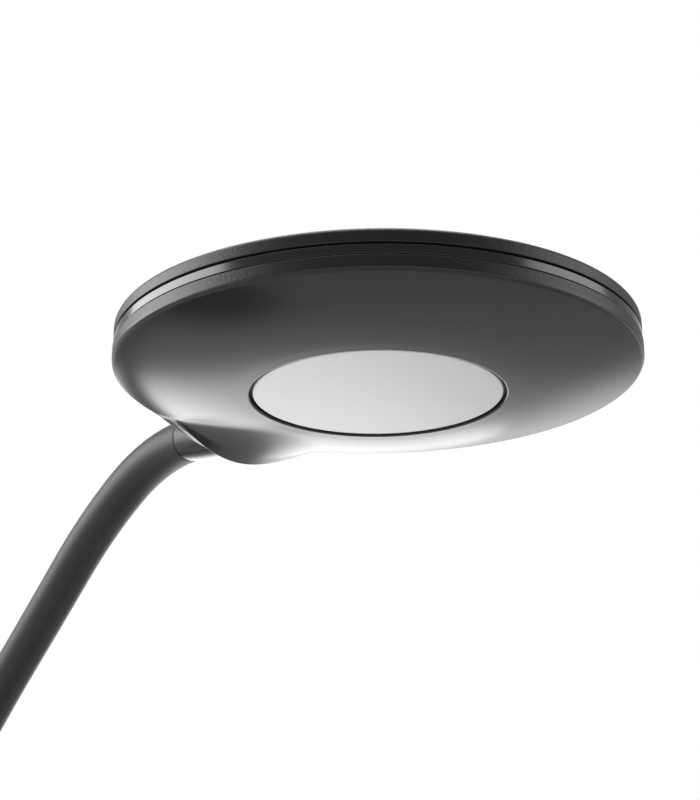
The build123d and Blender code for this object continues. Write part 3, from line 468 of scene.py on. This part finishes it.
# Opal acrylic: milky all through, with a fine frosted skin that softens what it mirrors.
FROST = 0.4
FROST_DEPTH = 0.03
opal_acrylic, skin = new_material("opal_acrylic")
place = add(opal_acrylic, "ShaderNodeTexCoord")
frost = add(
    opal_acrylic, "ShaderNodeTexNoise", {"Vector": place.outputs["Object"]},
    {"Scale": 1 / (FROST * MM), "Detail": 1.0},
)
haze = add(
    opal_acrylic, "ShaderNodeMapRange", {"Value": frost.outputs["Fac"]},
    {"To Min": 0.2, "To Max": 0.25},
)
tooth = add(
    opal_acrylic, "ShaderNodeBump", {"Height": frost.outputs["Fac"]},
    {"Strength": 0.12, "Distance": FROST_DEPTH * MM},
)
plug(opal_acrylic, skin, {
    "Roughness": haze.outputs["Result"],
    "Normal": tooth.outputs["Normal"],
}, {"Base Color": linear("#ebebeb"), "IOR": 1.49})
dress(lens, opal_acrylic)
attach(lens, "head")
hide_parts("diffuser")


# ------------------------------------------------------------------ neck sleeve
# A silicone rubber sleeve, drawn over the steel hose in one piece from the socket to the collar.
# It is made here in lengths that meet at the middle of each rigid part, each shaped to the neck's
# curve over its hinge.
SLEEVE_R = 7.65
SLEEVE_WALL = 1.2
SLEEVE_END_ROUND = 0.12
LINK = 44.0
BENDS = (6.0, 11.0, 13.0, 12.0, 9.0, 2.9, -0.8, 12.4, 28.6)
NECK_END = len(BENDS) * LINK
BALLED_LENGTH = 7
IN_SOCKET = 9.0
RING_STEPS = 72
HALF_STEPS = 18

socket_low, socket_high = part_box("neck_socket")
NECK_X = (socket_low.x + socket_high.x) / 2 / MM
SOCKET_TOP = socket_high.z / MM

leans = np.radians(np.concatenate(([0.0], np.cumsum(BENDS))))
half_turns = np.diff(leans) / 2
chords = LINK * np.sinc(half_turns / np.pi)
ways = leans[:-1] + half_turns
joints_x = NECK_X + np.concatenate(([0.0], np.cumsum(chords * np.sin(ways))))
joints_z = SOCKET_TOP + np.concatenate(([0.0], np.cumsum(chords * np.cos(ways))))


def neck_at(s):
    """Middle of the neck and its lean at lengths s from the socket: each part is one circular arc,
    so a point is its chord, s times sinc of half the turn, set off at the lean half way."""
    part = np.clip((s // LINK).astype(int), 0, len(BENDS) - 1)
    inside = s - part * LINK
    swing = np.radians(BENDS)[part] * inside / LINK
    chord = inside * np.sinc(swing / 2 / np.pi)
    way = leans[part] + swing / 2
    x, z = joints_x[part] + chord * np.sin(way), joints_z[part] + chord * np.cos(way)
    return x, z, leans[part] + swing


def sleeve_grid(s, radius):
    """Rings of this radius round the neck at lengths s, each square to it."""
    x, z, lean = (value[:, None] for value in neck_at(s))
    angle = np.linspace(0, 2 * np.pi, RING_STEPS, endpoint=False)
    radius = np.broadcast_to(radius, s.shape)[:, None]
    out = radius * np.cos(angle)
    return np.stack(
        (x + out * np.cos(lean), radius * np.sin(angle), z - out * np.sin(lean)), axis=-1
    )


# Silicone rubber: near black under a soft satin skin, faintly clouded and finely toothed.
BLOOM = 6.0
TOOTH = 0.5
TOOTH_DEPTH = 0.04
satin_rubber, skin = new_material("satin_rubber")
place = add(satin_rubber, "ShaderNodeTexCoord")
bloom = add(
    satin_rubber, "ShaderNodeTexNoise", {"Vector": place.outputs["Object"]},
    {"Scale": 1 / (BLOOM * MM), "Detail": 3.0},
)
fine = add(
    satin_rubber, "ShaderNodeTexNoise", {"Vector": place.outputs["Object"]},
    {"Scale": 1 / (TOOTH * MM), "Detail": 1.0},
)
tone = add(
    satin_rubber, "ShaderNodeMix", {"Factor": bloom.outputs["Fac"]},
    {"A": linear("#313134"), "B": linear("#363639")}, data_type="RGBA",
)
sheen = add(
    satin_rubber, "ShaderNodeMapRange", {"Value": bloom.outputs["Fac"]},
    {"To Min": 0.44, "To Max": 0.5},
)
tooth = add(
    satin_rubber, "ShaderNodeBump", {"Height": fine.outputs["Fac"]},
    {"Strength": 0.15, "Distance": TOOTH_DEPTH * MM},
)
plug(satin_rubber, skin, {
    "Base Color": tone.outputs["Result"],
    "Roughness": sheen.outputs["Result"],
    "Normal": tooth.outputs["Normal"],
}, {"IOR": 1.43})

# The first length reaches down into the socket, and the last ends in a small rounding. The
# seventh is two halves, each with half a ball on the hinge, so that either turns with no gap.
neck_bodies = ["base"] + [f"neck_{k}" for k in range(2, len(BENDS))] + ["head"]
quarter = np.radians(np.linspace(0, 90, 13))
end_turn = np.radians((0, 15, 30, 45, 60, 75, 90))
for k in range(len(BENDS) + 1):
    hinge_s = k * LINK
    start, end = max((k - 0.5) * LINK, 0), min((k + 0.5) * LINK, NECK_END)
    s = np.linspace(start, end, 2 * HALF_STEPS + 1)
    grid = sleeve_grid(s, SLEEVE_R)
    parts = [(f"sleeve_length_{k}", grid, None)]
    if k == 0:
        tail = grid[:1] - (0, 0, IN_SOCKET)
        parts = [(f"sleeve_length_{k}", np.concatenate((tail, grid)), "base")]
    elif k == len(BENDS):
        end_rows = sleeve_grid(
            NECK_END - SLEEVE_END_ROUND * (1 - np.sin(end_turn)),
            SLEEVE_R - SLEEVE_END_ROUND * (1 - np.cos(end_turn)),
        )
        end_ring = sleeve_grid(s[-1:], SLEEVE_R - SLEEVE_WALL)
        grid = np.concatenate((grid[:-1], end_rows, end_ring))
        parts = [(f"sleeve_length_{k}", grid, "head")]
    elif k == BALLED_LENGTH:
        far_ball = sleeve_grid(hinge_s + SLEEVE_R * np.sin(quarter), SLEEVE_R * np.cos(quarter))
        near_ball = sleeve_grid(hinge_s - SLEEVE_R * np.sin(quarter), SLEEVE_R * np.cos(quarter))
        halves = (
            (np.concatenate((grid[:HALF_STEPS + 1], far_ball[1:])), neck_bodies[k - 1]),
            (np.concatenate((near_ball[:0:-1], grid[HALF_STEPS:])), neck_bodies[k]),
        )
        parts = [(f"sleeve_length_{k}_{body}", half, body) for half, body in halves]
    for name, grid, body in parts:
        piece = closed_surface(name, grid)
        dress(piece, satin_rubber)
        if body:
            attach(piece, body)
        else:
            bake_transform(piece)
        if k > 0:
            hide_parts(f"sleeve_{k}")


# ------------------------------------------------------------------ collar
# An ABS moulding between the neck and the head: a short trumpet that is waisted like the neck and
# swells as it goes into the rim over the scoop.
COLLAR_NECK_R = 7.55
COLLAR_WAIST_R = 7.85
COLLAR_HEAD_R = 7.9
COLLAR_WAIST = 6.6
COLLAR_EDGE = 23.66
COLLAR_END = 28.6
COLLAR_DROP = 1.2
COLLAR_RINGS = 32

neck_end_x, neck_end_z, neck_end_lean = (value[0] for value in neck_at(np.array([NECK_END])))


def collar_grid(s):
    """Rings round the neck's end axis: radius and drop follow the parabola through three rings."""
    marks = (0.0, COLLAR_WAIST, COLLAR_EDGE)
    radius = np.polyval(np.polyfit(marks, (COLLAR_NECK_R, COLLAR_WAIST_R, COLLAR_HEAD_R), 2), s)
    fall = np.polyval(np.polyfit(marks, (0.0, COLLAR_DROP / 3, COLLAR_DROP), 2), s)
    angle = np.linspace(0, 2 * np.pi, RING_STEPS, endpoint=False)
    out = fall[:, None] + radius[:, None] * np.cos(angle)
    x = neck_end_x + s[:, None] * np.sin(neck_end_lean) + out * np.cos(neck_end_lean)
    z = neck_end_z + s[:, None] * np.cos(neck_end_lean) - out * np.sin(neck_end_lean)
    return np.stack((x, radius[:, None] * np.sin(angle), z), axis=-1)


rings = collar_grid(np.linspace(0, COLLAR_END, COLLAR_RINGS))
ends = rings[[0, -1]].mean(axis=1, keepdims=True) + 0 * rings[:2]
collar = closed_surface("collar", np.concatenate((ends[:1], rings, ends[1:])))
dress(collar, moulded_abs)
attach(collar, "head")
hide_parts("neck_collar")


# ------------------------------------------------------------------ base cover
# A round ABS moulding, 180 mm across, screwed down over the iron weight. Its flat top has a round
# hole for the push button, and its edge is turned down on a 7 mm radius.
BASE_R = 90.0
BASE_H = 20.0
BASE_EDGE = 7.0
BASE_WALL = 2.2
BASE_LIFT = 1.2
BASE_FOOT_ROUND = 0.4
BASE_INNER_ROUND = 0.3
BASE_FLAT_R = BASE_R - BASE_EDGE - 4
BUTTON_X = 45.0
HOLE_R = 10.35
HOLE_ROUND = 0.5
HOLE_RUN = 2.0
UNDER_R = BUTTON_X + HOLE_R + 8
TOP_ROWS = 24

hole_rows = turned(rounded([
    (HOLE_R, BASE_H - BASE_WALL, 0),
    (HOLE_R, BASE_H, HOLE_ROUND),
    (HOLE_R + HOLE_RUN, BASE_H, 0),
]), BUTTON_X)
edge_rows = turned(rounded([
    (BASE_FLAT_R, BASE_H, 0),
    (BASE_R, BASE_H, BASE_EDGE),
    (BASE_R, BASE_LIFT, BASE_FOOT_ROUND),
    (BASE_R - BASE_WALL, BASE_LIFT, BASE_INNER_ROUND),
    (BASE_R - BASE_WALL, BASE_H - BASE_WALL, BASE_EDGE - BASE_WALL),
    (UNDER_R, BASE_H - BASE_WALL, 0),
]))
share = np.linspace(0, 1, TOP_ROWS)[1:-1, None, None]
top_rows = hole_rows[-1:] * (1 - share) + edge_rows[:1] * share
base_cover = closed_surface(
    "base_cover_moulding", np.concatenate((hole_rows, top_rows, edge_rows)), along=True
)

# The base's ABS: the same grade as the head's, and all of it has the spark-eroded grain, since
# every height of the base lies over the range in which the grain comes in.
grained_abs = moulded_abs.copy()
grained_abs.name = "grained_abs"
plug(grained_abs, grained_abs.node_tree.nodes["wall_part"], (), {"From Min": -1, "From Max": -0.9})
dress(base_cover, grained_abs)
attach(base_cover, "base")
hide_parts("base_cover")


# ------------------------------------------------------------------ neck socket
# A round ABS collar on the base, hollow-sided from its foot to its top. The neck's end sits in its
# bore, and its side is an arc that hides the nut and the weight's boss.
SOCKET_R = 15.5
SOCKET_FOOT = 3.0
SOCKET_FOOT_ROUND = 0.3
SOCKET_TOP_R = 10.3
SOCKET_TOP_ROUND = 0.8
SOCKET_SIDE_R = 60.0
SOCKET_SIDE_ROWS = 20
SOCKET_STEPS = 96
BORE_R = 7.75
BORE_FLOOR = BASE_H + 18
BORE_ROUND = 0.4
BORE_RUN = 3.0

low, high = np.array((SOCKET_R, BASE_H + SOCKET_FOOT)), np.array((SOCKET_TOP_R, SOCKET_TOP))
side_length = np.linalg.norm(high - low)
across = (high - low) / side_length
outward = np.array((across[1], -across[0]))
hollow = np.sqrt(SOCKET_SIDE_R**2 - side_length**2 / 4)
way = np.linspace(-0.5, 0.5, SOCKET_SIDE_ROWS)[:, None] * side_length
bulge = hollow - np.sqrt(SOCKET_SIDE_R**2 - way**2)
side_line = (low + high) / 2 + across * way + outward * bulge
socket_outline = np.concatenate((
    rounded([
        (BORE_R, BORE_FLOOR, 0),
        (BORE_R, BASE_H, 0),
        (SOCKET_R, BASE_H, SOCKET_FOOT_ROUND),
        (*low, 0),
    ])[:-1],
    side_line[:-1],
    rounded([
        (*side_line[-2], 0),
        (*high, SOCKET_TOP_ROUND),
        (BORE_R, SOCKET_TOP, BORE_ROUND),
        (BORE_R, SOCKET_TOP - BORE_RUN, 0),
    ])[1:],
))
neck_socket = closed_surface(
    "socket", turned(socket_outline, NECK_X, steps=SOCKET_STEPS), along=True
)
dress(neck_socket, grained_abs)
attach(neck_socket, "base")
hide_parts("neck_socket")


# ------------------------------------------------------------------ push button
# A round ABS cap with a shallow dish for the finger, which stands 3 mm out of the base. A flange
# at its foot keeps it in the cover's hole.
BUTTON_R = 10.0
BUTTON_TOP = 23.0
BUTTON_FOOT = 16.3
BUTTON_ROUND = 1.2
BUTTON_DISH = 0.6
BUTTON_DISH_R = 7.8
BUTTON_FLANGE_R = 11.6
BUTTON_FLANGE_TOP = 17.5
BUTTON_STEPS = 128

dip = np.linspace(0, BUTTON_DISH_R, 16)
dip_depth = BUTTON_DISH * (1 + np.cos(np.pi * dip / BUTTON_DISH_R)) / 2
button_outline = np.concatenate((
    np.stack((dip, BUTTON_TOP - dip_depth), axis=1),
    rounded([
        (BUTTON_DISH_R, BUTTON_TOP, 0),
        (BUTTON_R, BUTTON_TOP, BUTTON_ROUND),
        (BUTTON_R, BUTTON_FLANGE_TOP, CORNER_ROUND),
        (BUTTON_FLANGE_R, BUTTON_FLANGE_TOP, CORNER_ROUND),
        (BUTTON_FLANGE_R, BUTTON_FOOT, CORNER_ROUND),
        (0, BUTTON_FOOT, 0),
    ])[1:],
))
push_button = closed_surface(
    "button_cap", turned(button_outline, BUTTON_X, steps=BUTTON_STEPS)
)
dress(push_button, grained_abs)
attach(push_button, "button")
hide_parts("push_button")


# ------------------------------------------------------------------ small parts and the inside
# What closes the lamp and what is sealed in it: rubber pad and steel plate below, the iron weight,
# screws, brass ferrules, the board with its switch, and the light engine behind the lens.
def plain_finish(name, dark, light, grain_mm, rough, metallic=0.0, bump=0.1, ior=1.5):
    """Two tones of one colour in a noise of the given grain, the same noise as roughness and
    bump."""
    material, skin = new_material(name)
    place = add(material, "ShaderNodeTexCoord")
    noise = add(
        material, "ShaderNodeTexNoise", {"Vector": place.outputs["Object"]},
        {"Scale": 1 / (grain_mm * MM), "Detail": 3.0},
    )
    tones = add(
        material, "ShaderNodeMix", {"Factor": noise.outputs["Fac"]},
        {"A": linear(dark), "B": linear(light)}, data_type="RGBA",
    )
    rougher = add(
        material, "ShaderNodeMapRange", {"Value": noise.outputs["Fac"]},
        {"To Min": rough - 0.04, "To Max": rough + 0.04},
    )
    uneven = add(
        material, "ShaderNodeBump", {"Height": noise.outputs["Fac"]},
        {"Strength": bump, "Distance": grain_mm * MM / 5},
    )
    plug(material, skin, {
        "Base Color": tones.outputs["Result"],
        "Roughness": rougher.outputs["Result"],
        "Normal": uneven.outputs["Normal"],
    }, {"Metallic": metallic, "IOR": ior})
    return material


# Each real material by its slot: matt rubbers and paints are dark and dull, the iron is rough and
# half metallic, and the screws, hose, brass and aluminium are bright metals of a low grain.
finishes = {
    "pad_rubber": plain_finish(
        "cut_sheet_rubber", "#1d1d1e", "#232324", 0.6, 0.75, bump=0.4, ior=1.52
    ),
    "plate_steel": plain_finish("black_painted_steel", "#222223", "#28282a", 1.5, 0.45),
    "weight_iron": plain_finish("sand_cast_iron", "#3a3a3b", "#4a4a4a", 1.2, 0.6, 0.6, 0.5),
    "zinc_steel": plain_finish("zinc_plated_steel", "#a9acb0", "#c3c6c9", 0.8, 0.3, 1.0),
    "hose_steel": plain_finish("wound_steel_wire", "#8f9194", "#b4b6b8", 1.0, 0.35, 1.0, 0.4),
    "fitting_brass": plain_finish("turned_brass", "#b08d4a", "#c9a75c", 0.8, 0.25, 1.0),
    "sheet_aluminium": plain_finish("rolled_aluminium", "#c4c6c8", "#d6d8d9", 2.0, 0.35, 1.0),
    "white_plastic": plain_finish("white_polystyrene", "#e2e2df", "#ebebe8", 3.0, 0.4),
    "led_phosphor": plain_finish("led_phosphor", "#d8c255", "#e6d36d", 0.5, 0.5),
    "ring_plastic": plain_finish("black_nylon", "#161617", "#1c1c1d", 0.7, 0.55, ior=1.53),
    "board_laminate": plain_finish("solder_mask", "#0f4a2a", "#145a34", 2.0, 0.35),
    "lead_rubber": plain_finish("lead_rubber", "#1a1a1b", "#202021", 0.6, 0.55),
}
slots = {row["node"]: row["material_slot"] for row in frame["record"]["subparts"]}
for node_name, node_object in frame["nodes"].items():
    dress(node_object, finishes.get(slots[node_name], moulded_abs))


# ------------------------------------------------------------------ floor, room and lamps
# A pale floor in a room whose far wall is white, as in a small studio: a soft lamp hangs low over
# the object, one stands to each side of the head, and a large and a small one stand beyond it.
FLOOR_REACH = 6000.0
FADE_FROM = 660.0
FADE_TO = 1500.0
floor_grid = np.array([[(-1, -1, 0), (1, -1, 0)], [(-1, 1, 0), (1, 1, 0)]], float) * FLOOR_REACH
floor = closed_surface("floor", floor_grid, around=False)

# Matt pale paint. Far from the object it fades into the white of the room, for the eye and in
# reflections, and its bounced light stays that of the plain paint.
pale_floor, skin = new_material("pale_floor")
plug(pale_floor, skin, (), {
    "Base Color": linear("#c2c2c2"), "Roughness": 0.9, "Specular IOR Level": 0.0,
})
place = add(pale_floor, "ShaderNodeTexCoord")
distance = add(
    pale_floor, "ShaderNodeVectorMath", {0: place.outputs["Object"]}, operation="LENGTH",
)
fade = add(
    pale_floor, "ShaderNodeMapRange", {"Value": distance.outputs["Value"]},
    {"From Min": FADE_FROM * MM, "From Max": FADE_TO * MM}, interpolation_type="SMOOTHSTEP",
)
rays = add(pale_floor, "ShaderNodeLightPath")
not_bounced = add(
    pale_floor, "ShaderNodeMath",
    {0: rays.outputs["Is Diffuse Ray"]}, {1: 0.5}, operation="LESS_THAN",
)
white_share = add(
    pale_floor, "ShaderNodeMath",
    {0: fade.outputs["Result"], 1: not_bounced.outputs[0]}, operation="MULTIPLY",
)
white = add(pale_floor, "ShaderNodeEmission")
both = add(
    pale_floor, "ShaderNodeMixShader",
    {0: white_share.outputs[0], 1: skin.outputs["BSDF"], 2: white.outputs["Emission"]},
)
surface_output = pale_floor.node_tree.nodes["Material Output"]
plug(pale_floor, surface_output, {"Surface": both.outputs["Shader"]})
dress(floor, pale_floor)

# The room: white where the camera looks past the object. A mirror sees that white wall too, and
# the walls beside and behind the eye go dark in it. Plain surfaces get a low, even light. A wall
# is (how far round it is from behind the eye to straight ahead, how white it is).
ROOM_LIGHT = 0.2
ROOM_WALLS = ((0.0, 0.08), (0.35, 0.16), (0.75, 0.3), (0.88, 0.4), (0.975, 1.0))
world = bpy.data.worlds.new("room")
world.use_nodes = True
bpy.context.scene.world = world
rays = add(world, "ShaderNodeLightPath")
direction = add(world, "ShaderNodeTexCoord")
towards_far = add(
    world, "ShaderNodeVectorMath",
    {0: direction.outputs["Generated"]}, {1: away}, operation="DOT_PRODUCT",
)
far_share = add(
    world, "ShaderNodeMapRange", {"Value": towards_far.outputs["Value"]}, {"From Min": -1.0},
)
walls = add(world, "ShaderNodeValToRGB", {"Fac": far_share.outputs["Result"]})
while len(walls.color_ramp.elements) < len(ROOM_WALLS):
    walls.color_ramp.elements.new(0.5)
for stop, (share, whiteness) in zip(walls.color_ramp.elements, ROOM_WALLS):
    stop.position, stop.color = share, (whiteness, whiteness, whiteness, 1)
mirrored = add(
    world, "ShaderNodeMath",
    {0: rays.outputs["Is Glossy Ray"], 1: rays.outputs["Is Transmission Ray"]},
    operation="MAXIMUM",
)
in_mirror = add(
    world, "ShaderNodeMath",
    {0: mirrored.outputs[0], 1: walls.outputs["Color"]}, operation="MULTIPLY",
)
plain = add(
    world, "ShaderNodeMath",
    {0: rays.outputs["Is Diffuse Ray"]}, {1: ROOM_LIGHT}, operation="MULTIPLY",
)
not_seen = add(
    world, "ShaderNodeMath", {0: in_mirror.outputs[0], 1: plain.outputs[0]}, operation="MAXIMUM",
)
strength = add(
    world, "ShaderNodeMath",
    {0: rays.outputs["Is Camera Ray"], 1: not_seen.outputs[0]}, operation="MAXIMUM",
)
plug(
    world, world.node_tree.nodes["Background"],
    {"Strength": strength.outputs[0]}, {"Color": (1, 1, 1, 1)},
)


def soft_lamp(name, place, aim, width, height, brightness, spread):
    """A flat oval lamp at place that faces aim, in millimetres. Seen from straight ahead it is
    brightness times as bright as a white sheet in full light, and it dims to nothing at half of
    spread degrees off. Its power is brightness, times pi, times its area, times twice the share
    sin(a)^2 / 2 - cot(a) (a / 2 - sin(2 a) / 4) of a lamp that shines all ways, where a is half
    of spread."""
    half = np.radians(spread) / 2
    share = np.sin(half) ** 2 / 2 - (half / 2 - np.sin(2 * half) / 4) / np.tan(half)
    data = bpy.data.lights.new(name, "AREA")
    data.shape = "ELLIPSE"
    data.size, data.size_y = width * MM, height * MM
    data.spread = np.radians(spread)
    data.energy = brightness * np.pi * (np.pi / 4 * data.size * data.size_y) * 2 * share
    lamp = bpy.data.objects.new(name, data)
    lamp.location = place * MM
    lamp.rotation_euler = (aim - place).to_track_quat("-Z", "Y").to_euler()
    lamp.visible_camera = False
    bpy.context.scene.collection.objects.link(lamp)


def beside_head(beyond, aside, height):
    """A point this far beyond the head from the eye, to its right, and over the floor."""
    return Vector((HEAD_X, 0, height)) + away * beyond + level * aside


far_place = beside_head(780, -110, 232)
edge_place = beside_head(780, 200, 200)
left_place = beside_head(130, -1150, RIM_Z + 400)
right_place = beside_head(-100, 1200, RIM_Z + 400)
top_place = Vector((HEAD_X / 2, 0, 900))
below_top = Vector((HEAD_X / 2, 0, 0))
for name, place, aim, width, height, brightness, spread in (
    ("far_lamp", far_place, beside_head(0, 0, 400), 510, 460, 2.55, 76),
    ("edge_lamp", edge_place, edge_place - away, 280, 340, 0.5, 90),
    ("left_lamp", left_place, rim_middle, 1400, 1000, 5.6, 120),
    ("right_lamp", right_place, rim_middle, 1000, 1000, 2.3, 120),
    ("top_lamp", top_place, below_top, 800, 800, 3.2, 180),
):
    soft_lamp(name, place, aim, width, height, brightness, spread)
